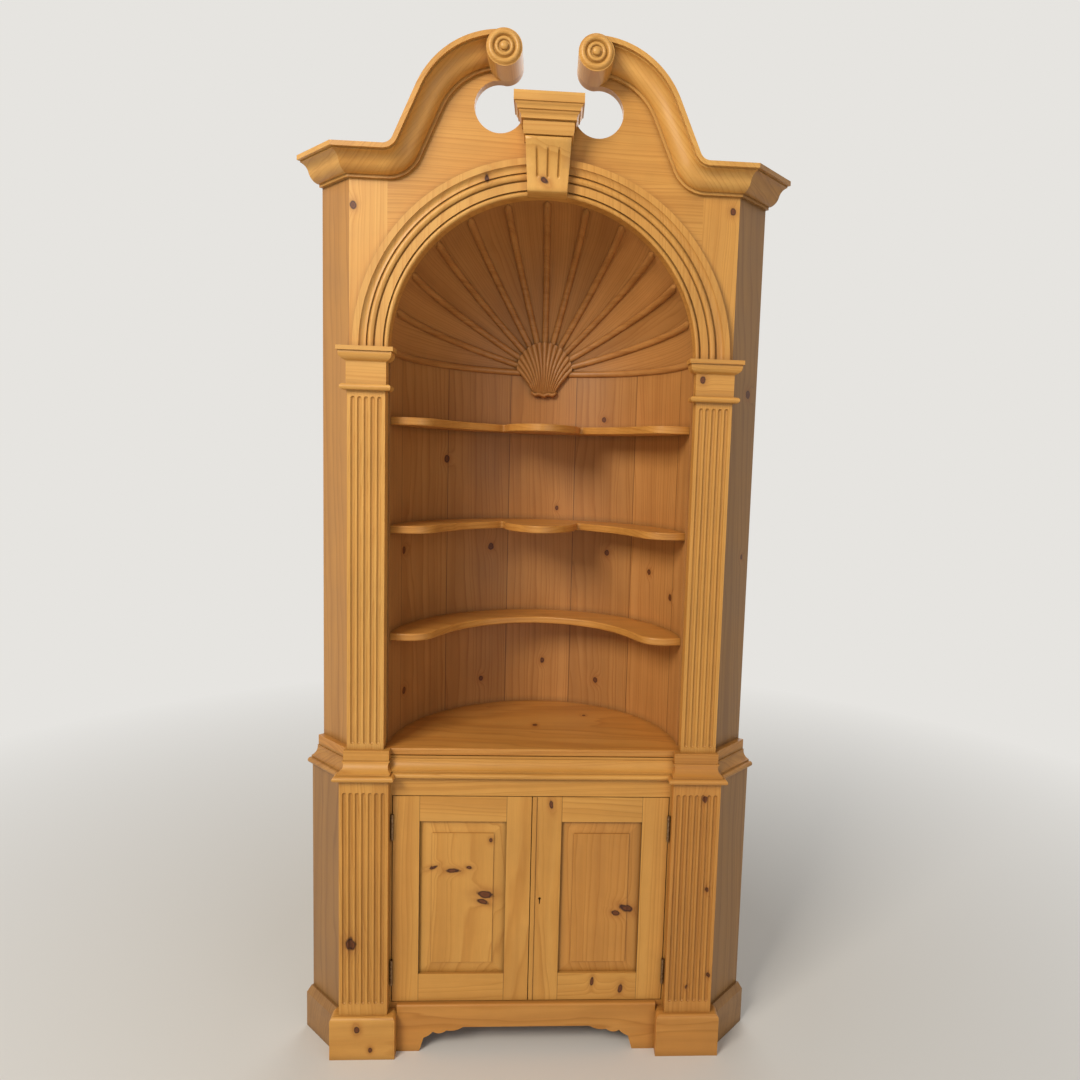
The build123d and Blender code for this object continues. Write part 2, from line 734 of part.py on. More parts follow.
def door_frame(x_low, x_high, low_w, high_w):
    # x_low and x_high are the leaf's edges, low_w and high_w the stiles' widths.
    hole = (x_low + low_w, x_high - high_w, door_low + bottom_rail_h, door_high - top_rail_h)
    return [door_member(x_low, hole[0], door_low, door_high, hole),
            door_member(hole[1], x_high, door_low, door_high, hole),
            door_member(hole[0], hole[1], door_low, hole[2], hole),
            door_member(hole[0], hole[1], hole[3], door_high, hole)], hole


def raised_panel(hole):
    with BuildPart() as panel:
        mid = ((hole[0] + hole[1]) / 2, (hole[2] + hole[3]) / 2)
        wide = hole[1] - hole[0]
        tall = hole[3] - hole[2]
        play = 2 * panel_play
        with Locations((mid[0], door_y, mid[1])):
            Box(wide + 2 * groove_d - play, tongue_t, tall + 2 * groove_d - play)
        with BuildSketch(Plane.XZ.offset(lower_face - door_t / 2 + tongue_t / 2)):
            with Locations(mid):
                Rectangle(wide - play, tall - play)
        with BuildSketch(Plane.XZ.offset(lower_face - 3.5)):
            with Locations(mid):
                Rectangle(wide - 2 * field_in, tall - 2 * field_in)
        loft()
        with Locations((mid[0], -lower_face + 3, mid[1])):
            Box(wide - 2 * field_in - 3, 4, tall - 2 * field_in - 3)
    return panel.part


right_edges = (meeting_gap / 2, door_outer)
left_edges = (-door_outer, -meeting_gap / 2)
right_members, right_hole = door_frame(right_edges[0], right_edges[1], right_meeting_w, outer_stile_w)
left_members, left_hole = door_frame(left_edges[0], left_edges[1], outer_stile_w, left_meeting_w)

# Hinges: three knuckles on a pin, leaves let into the stile and the edge of the door

axis_x = low_stile_in - door_gap / 2
axis_y = -lower_face - axis_out
hinge_zs = [door_low + hinge_from_end, door_high - hinge_from_end]
third = hinge_h / 3
leaf_depth = 20.0


def leaf(x_low, x_high, y_front, z_mid, height):
    with Locations(((x_low + x_high) / 2, (y_front - lower_face + leaf_depth) / 2, z_mid)):
        Box(x_high - x_low, -lower_face + leaf_depth - y_front, height)


with BuildPart() as case_hinges_right:
    for z in hinge_zs:
        with Locations((axis_x, axis_y, z)):
            Cylinder(pin_r, hinge_h)
        for end in (-1, 1):
            with Locations((axis_x, axis_y, z + end * third)):
                Cylinder(knuckle_r, third - knuckle_gap)
            leaf(low_stile_in, low_stile_in + leaf_t, axis_y, z + end * third, third - knuckle_gap)
        leaf(low_stile_in, low_stile_in + leaf_t, -lower_face, z, hinge_h - knuckle_gap)
with BuildPart() as case_hinges_left:
    mirror(case_hinges_right.part, about=Plane.YZ)

with BuildPart() as door_hinges_right:
    for z in hinge_zs:
        with Locations((axis_x, axis_y, z)):
            Cylinder(knuckle_r, third - knuckle_gap)
        leaf(door_outer - leaf_t, door_outer, axis_y, z, third - knuckle_gap)
        leaf(door_outer - leaf_t, door_outer, -lower_face, z, hinge_h - knuckle_gap)
        with Locations((axis_x, axis_y, z)):
            Cylinder(pin_r + pin_play, hinge_h, mode=Mode.SUBTRACT)
with BuildPart() as door_hinges_left:
    mirror(door_hinges_right.part, about=Plane.YZ)


def mortise(x_low, x_high):
    # The seat of a leaf, cut to the leaf's own size.
    for z in hinge_zs:
        with Locations(((x_low + x_high) / 2, -lower_face + leaf_depth / 2, z)):
            Box(x_high - x_low, leaf_depth, hinge_h - knuckle_gap, mode=Mode.SUBTRACT)


with BuildPart() as stile_cut_right:
    add(lower_stile_right.part)
    mortise(low_stile_in, low_stile_in + leaf_t)
with BuildPart() as stile_cut_left:
    mirror(stile_cut_right.part, about=Plane.YZ)

# Lock behind the right door's meeting stile, its bolt, and the bolt that holds the left door

lock_z = (door_low + door_high) / 2
key_x = 23.0
lock_low = meeting_gap / 2 + 1.0
lock_w = 60.0
lock_h = 66.0
lock_t = 13.0
bolt_h = 15.0
bolt_t = 6.0
bolt_y = lower_back_y + 3.0 + bolt_t / 2
bolt_play = 0.3
with BuildPart() as lock_case:
    with Locations((lock_low + lock_w / 2, lower_back_y + lock_t / 2, lock_z)):
        Box(lock_w, lock_t, lock_h)
    with Locations((lock_low + 24, bolt_y, lock_z + 14)):
        Box(48, bolt_t + 2 * bolt_play, bolt_h + 2 * bolt_play, mode=Mode.SUBTRACT)
    with Locations(Location((key_x, lower_back_y, lock_z), (90, 0, 0))):
        Cylinder(3.2, 16, mode=Mode.SUBTRACT)
with BuildPart() as lock_bolt:
    with Locations((lock_low + 22, bolt_y, lock_z + 14)):
        Box(44, bolt_t, bolt_h)

rail_bolt_x = -(meeting_gap / 2 + left_meeting_w / 2)
rail_bolt_w = 12.0
keep_t = 2.0
slide_y = lower_back_y + keep_t + bolt_play + bolt_t / 2
with BuildPart() as left_bolt:
    with Locations((rail_bolt_x, slide_y, door_high - 43)):
        Box(rail_bolt_w, bolt_t, 80)
    with Locations(Location((rail_bolt_x, slide_y + bolt_t / 2 + 5, door_high - 42), (90, 0, 0))):
        Cylinder(3.0, 12)
with BuildPart() as left_bolt_keep:
    with Locations((rail_bolt_x, lower_back_y + keep_t / 2, door_high - 42)):
        Box(32, keep_t, 72)
    for z in (door_high - 16, door_high - 68):
        with Locations((rail_bolt_x, lower_back_y + keep_t + 4, z)):
            Box(20, 8 + 2, 14)
        with Locations((rail_bolt_x, slide_y, z)):
            Box(rail_bolt_w + 2 * bolt_play, bolt_t + 2 * bolt_play, 16, mode=Mode.SUBTRACT)

# The keyhole goes through the right door's meeting stile
with BuildPart() as right_meeting:
    add(right_members[0])
    with Locations(Location((key_x, door_y, lock_z + 3), (90, 0, 0))):
        Cylinder(3.2, door_t + 2, mode=Mode.SUBTRACT)
    with Locations((key_x, door_y, lock_z - 4)):
        Box(2.6, door_t + 2, 13, mode=Mode.SUBTRACT)
    # A quirked bead runs down the meeting edge.
    with Locations((meeting_gap / 2 + 11, -lower_face, (door_low + door_high) / 2)):
        Box(2, 4, door_high - door_low, mode=Mode.SUBTRACT)
with BuildPart() as right_outer:
    add(right_members[1])
    mortise(door_outer - leaf_t, door_outer)
with BuildPart() as left_outer:
    add(left_members[0])
    mortise(-door_outer, -door_outer + leaf_t)

# Every piece by name. A list holds the separate boards of one node.
nodes = {
    "lower_stile_left": stile_cut_left.part, "lower_stile_right": stile_cut_right.part,
    "lower_side_left": lower_side_left.part, "lower_side_right": lower_side_right.part,
    "lower_back_left": lower_back_left.part, "lower_back_right": lower_back_right.part,
    "lower_top_rail": lower_top_rail.part, "lower_bottom_rail": lower_bottom_rail.part,
    "cupboard_floor": cupboard_floor.part, "counter_top": counter_top.part,
    "waist_moulding_front": waist_moulding_front.part,
    "waist_breakout_left": waist_breakout_left.part,
    "waist_breakout_right": waist_breakout_right.part,
    "waist_return_left": waist_return_left.part, "waist_return_right": waist_return_right.part,
    "upper_stile_left": upper_stile_left.part, "upper_stile_right": upper_stile_right.part,
    "upper_side_left": upper_side_left.part, "upper_side_right": upper_side_right.part,
    "spandrel_board": spandrel_board.part, "pediment_board": pediment_board.part,
    "crown_left": crown_left.part, "crown_right": crown_right.part,
    "crown_return_left": crown_return_left.part, "crown_return_right": crown_return_right.part,
    "volute_left": volute_left.part, "volute_right": volute_right.part,
    "keystone": keystone.part, "keystone_cap": keystone_cap.part,
    "archivolt_left": archivolt_left.part, "archivolt_right": archivolt_right.part,
    "upper_pilaster_left": upper_pilaster_left.part,
    "upper_pilaster_right": upper_pilaster_right.part,
    "capital_left": capital_left.part, "capital_right": capital_right.part,
    "lower_pilaster_left": lower_pilaster_left.part,
    "lower_pilaster_right": lower_pilaster_right.part,
    "back_staves": stave_list, "dome_gores": gore_list, "dome_ribs": rib_list,
    "shell_carving": shell_carving.part,
    "shelf_bottom": shelf_parts["shelf_bottom"].part,
    "shelf_middle": shelf_parts["shelf_middle"].part, "shelf_top": shelf_parts["shelf_top"].part,
    "plinth_block_left": plinth_block_left.part, "plinth_block_right": plinth_block_right.part,
    "side_plinth_left": side_plinth_left.part, "side_plinth_right": side_plinth_right.part,
    "front_apron": front_apron.part,
    "door_frame_left": [left_outer.part, left_members[1], left_members[2], left_members[3]],
    "door_frame_right": [right_meeting.part, right_outer.part, right_members[2],
                         right_members[3]],
    "door_panel_left": raised_panel(left_hole), "door_panel_right": raised_panel(right_hole),
    "case_hinges": [case_hinges_left.part, case_hinges_right.part],
    "door_hinges_left": door_hinges_left.part, "door_hinges_right": door_hinges_right.part,
    "lock_case": lock_case.part, "lock_bolt": lock_bolt.part,
    "left_bolt": left_bolt.part, "left_bolt_keep": left_bolt_keep.part,
}

# Moved so that the middle of the whole cabinet's depth is y = 0.
front_reach = key_out + cap_out
depth_middle = (wall_sum - front_reach) / 2
centre = Location((0, -depth_middle, 0))
for name, shape in nodes.items():
    if isinstance(shape, list):
        whole = Compound(children=[piece.moved(centre) for piece in shape])
    else:
        whole = shape.moved(centre)
    whole.label = name
    export_step(whole, f"parts/{name}.step")
print(len(nodes), "nodes, depth middle", round(depth_middle, 3))
print("hinge axis", axis_x, round(axis_y - depth_middle, 3), "door z", door_low, door_high)
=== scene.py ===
import bpy
import bmesh
from math import cos, pi, radians, sin, sqrt
from mathutils import Matrix, Vector


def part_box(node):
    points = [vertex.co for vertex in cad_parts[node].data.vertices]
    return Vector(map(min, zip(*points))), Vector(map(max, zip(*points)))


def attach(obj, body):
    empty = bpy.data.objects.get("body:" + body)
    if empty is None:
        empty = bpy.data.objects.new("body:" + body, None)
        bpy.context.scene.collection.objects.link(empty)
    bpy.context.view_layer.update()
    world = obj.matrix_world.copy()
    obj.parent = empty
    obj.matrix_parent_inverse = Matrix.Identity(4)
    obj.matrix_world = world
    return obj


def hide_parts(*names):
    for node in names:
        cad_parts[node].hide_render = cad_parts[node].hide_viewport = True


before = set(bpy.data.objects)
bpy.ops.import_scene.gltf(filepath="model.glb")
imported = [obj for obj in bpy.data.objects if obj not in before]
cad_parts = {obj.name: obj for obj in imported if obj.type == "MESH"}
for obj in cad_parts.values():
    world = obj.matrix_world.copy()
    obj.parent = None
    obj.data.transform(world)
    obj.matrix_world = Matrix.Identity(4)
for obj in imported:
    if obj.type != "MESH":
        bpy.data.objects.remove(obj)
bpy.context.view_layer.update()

# Lower case: stiles, canted sides and rails.
# Boards of old Scots pine 22 mm thick, planed by hand, mitred at the corners and framed with
# the rails above and below the doors.


def colour(code):
    # An sRGB hex value as Blender's linear colour.
    parts = [int(code[i:i + 2], 16) / 255 for i in (1, 3, 5)]
    return [p / 12.92 if p <= 0.04045 else ((p + 0.055) / 1.055) ** 2.4 for p in parts] + [1.0]


def node(tree, kind, inputs, output=0, stops=(), **settings):
    # Adds one node with its settings, its inputs (each a value, or a socket to link from) and
    # the stops of its colour ramp, and gives the output that is asked for.
    made = tree.nodes.new("ShaderNode" + kind)
    for name, value in settings.items():
        setattr(made, name, value)
    for name, value in inputs.items():
        if isinstance(value, bpy.types.NodeSocket):
            tree.links.new(value, made.inputs[name])
        else:
            made.inputs[name].default_value = value
    if stops:
        band = made.color_ramp.elements
        while len(band) < len(stops):
            band.new(0.5)
        for stop, (where, code) in zip(band, stops):
            stop.position = where
            stop.color = colour(code)
    return made.outputs[output]


def marks_of(*sizes_mm):
    # A pattern's scale, from the size that one of its marks has.
    return [1000 / size for size in sizes_mm]


# Turns the trunk so that it lies along the board.
GRAIN_TURN = {"up": (0, 0, 0), "across": (0, -pi / 2, 0), "deep": (pi / 2, 0, 0),
              "canted_right": (pi / 2, 0, -pi / 4), "canted_left": (pi / 2, 0, pi / 4),
              "rising_left": (0, radians(-40), 0), "rising_right": (0, radians(40), 0)}

# Early wood, what lies between, and late wood, in lighter and darker copies of one pine. The
# first is painted light for the upper parts, most on the left, the second is the plain front,
# and the next four are painted shade: on the canted sides, deeper on the lower sides and the
# upper right side, on the lower and right-hand parts and the shelves, and in the niche. The
# sawn ones went grey.
TONES = {"lit": ("#E0AE5E", "#D7A052", "#BF8239"),
         "front": ("#D8A152", "#CD9345", "#B37731"),
         "side": ("#C08B48", "#B37F40", "#97642E"),
         "painted_deep_shade": ("#A97C46", "#9B703E", "#80582F"),
         "painted_half_shade": ("#CE944A", "#C2853C", "#A66A2B"),
         "painted_niche_shade": ("#C28C4F", "#B57D41", "#97602D"),
         "rough": ("#B99260", "#A98254", "#8C673F")}


def growth_rings(tree, wood, slow, nearest, ring_mm):
    # The rings are cylinders about the trunk's heart, which wanders by up to 17 mm, and round
    # each knot they bulge outwards by up to 11 mm. Real ones are 2 to 4 mm apart, and they are
    # drawn ring_mm apart, so that they show. Gives the place in the wood, bent as the trunk
    # is, and how far each point is through its year's ring.
    wander, bulge_out, uneven_years = 0.034, 0.011, 2.4
    drift = node(tree, "TexNoise", {"Vector": slow, "Scale": 1.0, "Detail": 3.0}, "Color")
    drift = node(tree, "VectorMath", {0: drift, 1: (0.5, 0.5, 0.5)}, operation="SUBTRACT")
    bent = node(tree, "VectorMath", {0: drift, 1: (wander, wander, 0.0), 2: wood},
                operation="MULTIPLY_ADD")
    flat = node(tree, "VectorMath", {0: bent, 1: (1, 1, 0)}, operation="MULTIPLY")
    from_heart = node(tree, "VectorMath", {0: flat}, "Value", operation="LENGTH")
    if nearest:
        bulge = near_knot(tree, nearest, 0.16)
        from_heart = node(tree, "Math", {0: bulge, 1: bulge_out, 2: from_heart},
                          operation="MULTIPLY_ADD")
    uneven = node(tree, "TexNoise", {"W": from_heart, "Scale": 1000 / 16.667, "Detail": 2.0},
                  noise_dimensions="1D")
    year = node(tree, "Math", {0: from_heart, 1: ring_mm * 0.001}, operation="DIVIDE")
    year = node(tree, "Math", {0: uneven, 1: uneven_years, 2: year}, operation="MULTIPLY_ADD")
    return bent, node(tree, "Math", {0: year}, operation="FRACT")


def waxed_wood(tree, tone, year, slow, fibre, streak, blotch):
    # Early and late wood, which wax and age leave faint, streaks of redder wood, and fibres
    # and blotches that are a little brighter or darker.
    early, between, late = TONES[tone]
    look = node(tree, "ValToRGB", {"Fac": year},
                stops=[(0.0, early), (0.35, early), (0.72, between), (0.88, late), (1.0, early)])
    faint = node(tree, "TexNoise", {"Vector": slow, "Scale": 2.3, "Detail": 2.0})
    faint = node(tree, "Math", {0: faint, 1: 0.75, 2: 0.2}, operation="MULTIPLY_ADD", use_clamp=True)
    look = node(tree, "Mix", {0: faint, 6: look, 7: colour(between)}, 2, data_type="RGBA")
    redder = node(tree, "MapRange", {0: streak, 1: 0.42, 2: 0.8745, 3: 0.0, 4: 0.55})
    look = node(tree, "Mix", {0: redder, 6: look, 7: colour(late)}, 2, data_type="RGBA")
    shade = node(tree, "Math", {0: fibre, 1: 0.16, 2: 0.91}, operation="MULTIPLY_ADD")
    waxed = node(tree, "Math", {0: blotch, 1: 0.34, 2: 0.85}, operation="MULTIPLY_ADD")
    shade = node(tree, "Math", {0: shade, 1: waxed}, operation="MULTIPLY")
    return node(tree, "VectorMath", {0: look, "Scale": shade}, operation="SCALE")


def pine(name, grain, tone, seed, knots=(), ring_mm=9.0, boards="", rails=(), rough=0.4):
    # Scots pine, flat sawn, planed and waxed for many years: honey coloured and softly glossy,
    # with faint arches of late wood, brown knots ringed by resin, and painted shade in the corners.
    # boards names a fan of boards, and rails gives the x where a door's rails begin and end.
    material = bpy.data.materials.new(name)
    material.use_nodes = True
    tree = material.node_tree
    place = node(tree, "TexCoord", {}, "Object")
    luck, joint, nearest = None, None, None
    if boards:
        wood, luck, joint = niche_boards(tree, place, boards)
    else:
        wood = node(tree, "Mapping", {"Vector": place, "Rotation": GRAIN_TURN[grain]})
    if rails:
        wood, joint = rail_grain(tree, place, wood, rails)
    if knots:
        nearest = knot_field(tree, place, knots)

    # Each board has its own stretch of trunk, a little beside the heart and not quite along it.
    beside, spread, before, stretch, lean = 0.045, 0.03, 0.05, 0.37, 0.03
    heart = (beside + spread * sin(seed * 2.1), before * cos(seed * 1.7), stretch * seed)
    tilt = (lean * sin(seed + 1), lean * cos(seed * 1.3), 0)
    wood = node(tree, "Mapping", {"Vector": wood, "Location": heart, "Rotation": tilt})
    # What changes slowly does so over 110 mm across the trunk and 600 mm along it.
    slow = node(tree, "Mapping", {"Vector": wood, "Scale": marks_of(111.1, 111.1, 625)})
    bent, year = growth_rings(tree, wood, slow, nearest, ring_mm)

    # Fibres, drawn 1.4 mm wide so that they show, broad streaks that run the length of the
    # board, and blotches where the wax took unevenly.
    fine = node(tree, "Mapping", {"Vector": bent, "Scale": marks_of(1.4286, 1.4286, 62.5)})
    fibre = node(tree, "TexNoise", {"Vector": fine, "Scale": 1.0, "Detail": 4.0})
    broad = node(tree, "Mapping", {"Vector": bent, "Scale": marks_of(29.41, 29.41, 909.1)})
    streak = node(tree, "TexNoise", {"Vector": broad, "Scale": 1.0, "Detail": 2.0})
    blotch = node(tree, "TexNoise", {"Vector": wood, "Scale": 1000 / 181.8, "Detail": 5.0,
                                     "Roughness": 0.6})
    look = waxed_wood(tree, tone, year, slow, fibre, streak, blotch)
    if luck:
        # No two boards of a fan are quite as dark.
        luck = node(tree, "Math", {0: luck, 1: 0.22, 2: 0.88}, operation="MULTIPLY_ADD")
        look = node(tree, "VectorMath", {0: look, "Scale": luck}, operation="SCALE")
    if knots:
        look = show_knots(tree, look, nearest)
    if joint:
        look = show_joint(tree, look, joint, 1.6 if boards else 0.9)
    # Painted shade darkens the colour in the inner corners, over 18 mm.
    corner = node(tree, "AmbientOcclusion", {"Distance": 0.018}, "AO", samples=8)
    corner = node(tree, "Math", {0: corner, 1: 0.55, 2: 0.45}, operation="MULTIPLY_ADD",
                  use_clamp=True)
    look = node(tree, "VectorMath", {0: look, "Scale": corner}, operation="SCALE")

    gloss = node(tree, "Math", {0: blotch, 1: 0.22, 2: rough - 0.1}, operation="MULTIPLY_ADD")
    height = node(tree, "Math", {0: year, 1: 0.2}, operation="MULTIPLY")
    height = node(tree, "Math", {0: fibre, 1: 0.7, 2: height}, operation="MULTIPLY_ADD")
    bump = node(tree, "Bump", {"Height": height, "Strength": 0.14, "Distance": 0.0005})
    shader = tree.nodes["Principled BSDF"]
    tree.links.new(look, shader.inputs["Base Color"])
    tree.links.new(gloss, shader.inputs["Roughness"])
    tree.links.new(bump, shader.inputs["Normal"])
    shader.inputs["Specular IOR Level"].default_value = 0.4
    return material


def dress(name, material, edge_mm=0.0):
    # Gives a board of the frame its finish, and worn edges where edge_mm is given.
    board = bpy.data.objects[name]
    board.data.materials.clear()
    board.data.materials.append(material)
    if edge_mm:
        worn = board.modifiers.new("worn edges", "BEVEL")
        worn.width = edge_mm * 0.001
        worn.segments = 2
        worn.limit_method = "ANGLE"
        worn.angle_limit = radians(40)
        worn.use_clamp_overlap = True


# The sides take the darkest painted shade, and the bottom rail a lighter painted shade.
dress("lower_stile_left", pine("waxed pine, lower left stile", "up", "front", 1), 0.8)
dress("lower_stile_right", pine("waxed pine, lower right stile", "up", "front", 2), 0.8)
dress("lower_side_left", pine("waxed pine, lower left side", "up", "painted_deep_shade", 3), 0.8)
dress("lower_side_right", pine("waxed pine, lower right side", "up", "painted_deep_shade", 4), 0.8)
dress("lower_top_rail", pine("waxed pine, top rail", "across", "front", 5), 0.8)
dress("lower_bottom_rail", pine("waxed pine, bottom rail", "across", "painted_half_shade", 6), 0.8)

# Backs and floor of the cupboard.
# Wide sawn boards that never saw a finishing plane or wax, since they stand against the wall.

dress("lower_back_left", pine("sawn pine, left back", "up", "rough", 7, ring_mm=7, rough=0.8))
dress("lower_back_right", pine("sawn pine, right back", "up", "rough", 8, ring_mm=7, rough=0.8))
dress("cupboard_floor", pine("sawn pine, cupboard floor", "across", "rough", 9, ring_mm=7,
                             rough=0.75))

# Base: plinth blocks, side plinths and the cut apron on its bracket feet.
# Thicker blocks planted under the pilasters, their grain across, with edges worn round.


def knot_field(tree, place, knots):
    # How far each point lies from the nearest knot, counted in that knot's own radius, with a
    # ragged edge. A knot is x, y and z in metres, its radius in millimetres, and for one that
    # is sawn at a slant its length over its width and its turn in degrees.
    taller, ragged_by = 0.75, 1.1
    ragged = node(tree, "TexNoise", {"Vector": place, "Scale": 1000 / 14.286, "Detail": 3.0})
    ragged = node(tree, "Math", {0: ragged, 1: 0.5}, operation="SUBTRACT")
    nearest = None
    for x, y, z, radius_mm, *slant in knots:
        length, turned = slant or (taller, 0.0)
        apart = node(tree, "VectorMath", {0: place, 1: (x, y, z)}, operation="SUBTRACT")
        apart = node(tree, "VectorRotate", {"Vector": apart, "Angle": radians(turned)},
                     rotation_type="Y_AXIS")
        apart = node(tree, "VectorMath", {0: apart, 1: (1 / length, 1, 1)}, operation="MULTIPLY")
        far = node(tree, "VectorMath", {0: apart}, "Value", operation="LENGTH")
        far = node(tree, "Math", {0: far, 1: radius_mm * 0.001}, operation="DIVIDE")
        far = node(tree, "Math", {0: ragged, 1: ragged_by, 2: far}, operation="MULTIPLY_ADD")
        if nearest:
            far = node(tree, "Math", {0: nearest, 1: far}, operation="MINIMUM")
        nearest = far
    return nearest


def near_knot(tree, nearest, narrow):
    # 1 at a knot's heart, and falling away round it.
    square = node(tree, "Math", {0: nearest, 1: nearest}, operation="MULTIPLY")
    square = node(tree, "Math", {0: square, 1: -narrow}, operation="MULTIPLY")
    return node(tree, "Math", {0: square}, operation="EXPONENT")


def show_knots(tree, look, nearest):
    # Resin browns the wood round a knot, and a thin ring of bark edges the knot itself, which
    # blends into the wood between these two distances.
    edge_out, edge_in = 1.22, 0.8867
    halo = near_knot(tree, nearest, 0.32)
    halo = node(tree, "Math", {0: halo, 1: 0.6}, operation="MULTIPLY")
    look = node(tree, "Mix", {0: halo, 6: look, 7: colour("#94541F")}, 2, data_type="RGBA")
    brown = node(tree, "ValToRGB", {"Fac": nearest},
                 stops=[(0.0, "#5E3216"), (0.55, "#6E3C1A"), (0.85, "#371A0C"), (1.0, "#4E2811")])
    heart = node(tree, "MapRange", {0: nearest, 1: edge_out, 2: edge_in, 3: 0.0, 4: 1.0})
    return node(tree, "Mix", {0: heart, 6: look, 7: brown}, 2, data_type="RGBA")


block_knots = [(-0.397, -0.332, 0.076, 8), (-0.366, -0.332, 0.025, 6)]
# The right block, the side plinths and the apron take darker copies of the pine than the left block, as
# painted shade.
dress("plinth_block_left", pine("waxed pine, left plinth block", "across", "front", 10, block_knots), 1.2)
dress("plinth_block_right", pine("waxed pine, right plinth block", "across", "painted_half_shade", 11), 1.2)
dress("side_plinth_left", pine("waxed pine, left side plinth", "canted_left", "painted_deep_shade", 12), 1.2)
dress("side_plinth_right", pine("waxed pine, right side plinth", "canted_right", "painted_deep_shade", 13), 1.2)
dress("front_apron", pine("waxed pine, apron", "across", "painted_half_shade", 14), 1.0)

# Waist: counter board, its mouldings and the breakouts under the upper pilasters.
# Run with moulding planes in long lengths, mitred or coped where they meet.

# The counter and the right breakout take a darker copy of the pine, and the returns on the canted sides a
# darker one still, as painted shade.
dress("counter_top", pine("waxed pine, counter board", "across", "painted_half_shade", 15,
                          [(0.0, -0.102, 0.738, 7), (0.13, -0.02, 0.738, 5)], ring_mm=8), 1.0)
dress("waist_moulding_front", pine("waxed pine, waist moulding", "across", "front", 16))
dress("waist_breakout_left", pine("waxed pine, left breakout", "across", "front", 17))
dress("waist_breakout_right", pine("waxed pine, right breakout", "across", "painted_half_shade", 18))
dress("waist_return_left", pine("waxed pine, left waist return", "canted_left", "side", 19))
dress("waist_return_right", pine("waxed pine, right waist return", "canted_right", "side", 20))

# Upper case: stiles, canted sides, spandrel board and the scrolled board above it.
# Boards of the same pine. The arch is cut from the spandrel board, and a joint runs across
# the head over it.

# The left stile takes the lightest copy of the pine, as painted light, and the canted sides darker ones,
# as painted shade, deepest on the right.
dress("upper_stile_left", pine("waxed pine, upper left stile", "up", "lit", 21,
                               [(-0.425, -0.26, 1.964, 9)]), 0.8)
dress("upper_stile_right", pine("waxed pine, upper right stile", "up", "front", 22,
                                [(0.419, -0.26, 1.989, 8)]), 0.8)
dress("upper_side_left", pine("waxed pine, upper left side", "up", "side", 23), 0.8)
dress("upper_side_right", pine("waxed pine, upper right side", "up", "painted_deep_shade", 24,
                               [(0.487, -0.206, 1.589, 9), (0.492, -0.2, 1.2, 6)]), 0.8)
dress("spandrel_board", pine("waxed pine, spandrel board", "across", "front", 25), 0.8)
dress("pediment_board", pine("waxed pine, scrolled board", "across", "front", 26), 0.8)

# Pilasters and capitals.
# Fluted with a round plane against a fence, five flutes above and seven below.

# The upper left pilaster and the left capital take the lightest copy of the pine, as painted light, and
# the lower right pilaster a darker one, as painted shade.
dress("upper_pilaster_left", pine("waxed pine, upper left pilaster", "up", "lit", 27, ring_mm=4), 0.7)
dress("upper_pilaster_right", pine("waxed pine, upper right pilaster", "up", "front", 28, ring_mm=4), 0.7)
dress("lower_pilaster_left", pine("waxed pine, lower left pilaster", "up", "front", 29,
                                  [(-0.416, -0.318, 0.279, 15)]), 0.7)
dress("lower_pilaster_right", pine("waxed pine, lower right pilaster", "up", "painted_half_shade", 30,
                                   [(0.405, -0.318, 0.637, 7), (0.42, -0.318, 0.414, 6),
                                    (0.433, -0.318, 0.198, 6), (0.381, -0.318, 0.168, 5)]), 0.7)
dress("capital_left", pine("waxed pine, left capital", "across", "lit", 31), 0.6)
dress("capital_right", pine("waxed pine, right capital", "across", "front", 32,
                            [(0.362, -0.286, 1.611, 8)]), 0.6)

# Arch: the archivolt.
# Turned or scratched to a run of beads and hollows, in two quarters that meet at the keystone.

# The left quarter takes the lightest copy of the pine, as painted light.
dress("archivolt_left", pine("waxed pine, left archivolt", "up", "lit", 33,
                             [(-0.133, -0.276, 2.03, 8)]))
dress("archivolt_right", pine("waxed pine, right archivolt", "up", "front", 34))

# Keystone.
# A console carved from one block, which swells to a roll under its cap and has three narrow
# flutes down its face, cut with a V tool.


def flow(points, steps):
    # A smooth line through points, which runs at each one as its two neighbours lie.
    line = []
    ends = [points[0]] + list(points) + [points[-1]]
    for a, b, c, d in zip(ends, ends[1:], ends[2:], ends[3:]):
        for i in range(steps):
            t = i / steps
            line.append(tuple(0.5 * (2 * q + (r - p) * t + (2 * p - 5 * q + 4 * r - s) * t * t
                                     + (3 * q - p - 3 * r + s) * t ** 3)
                              for p, q, r, s in zip(a, b, c, d)))
    return line + [tuple(points[-1])]


def loft(name, loops, material, sharp=35.0, edge_mm=0.0, strip=False):
    # A closed piece lofted through loops of points, all with the same number of points.
    # strip closes the ends across the loop, where it is long and thin.
    mesh = bpy.data.meshes.new(name)
    work = bmesh.new()
    rows = [[work.verts.new(point) for point in loop] for loop in loops]
    for low, high in zip(rows, rows[1:]):
        for i in range(len(low)):
            k = (i + 1) % len(low)
            work.faces.new((low[i], low[k], high[k], high[i]))
    for row in (rows[0][::-1], rows[-1]):
        if strip:
            for i in range(len(row) // 2 - 1):
                work.faces.new((row[i], row[i + 1], row[-2 - i], row[-1 - i]))
        else:
            work.faces.new(row)
    bmesh.ops.recalc_face_normals(work, faces=work.faces)
    work.to_mesh(mesh)
    work.free()
    mesh.shade_smooth()
    mesh.set_sharp_from_angle(angle=radians(sharp))
    mesh.materials.append(material)
    piece = bpy.data.objects.new(name, mesh)
    bpy.context.collection.objects.link(piece)
    if edge_mm:
        worn = piece.modifiers.new("worn edges", "BEVEL")
        worn.width = edge_mm * 0.001
        worn.segments = 4
        worn.limit_method = "ANGLE"
        worn.angle_limit = radians(50)
    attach(piece, "case")
    return piece


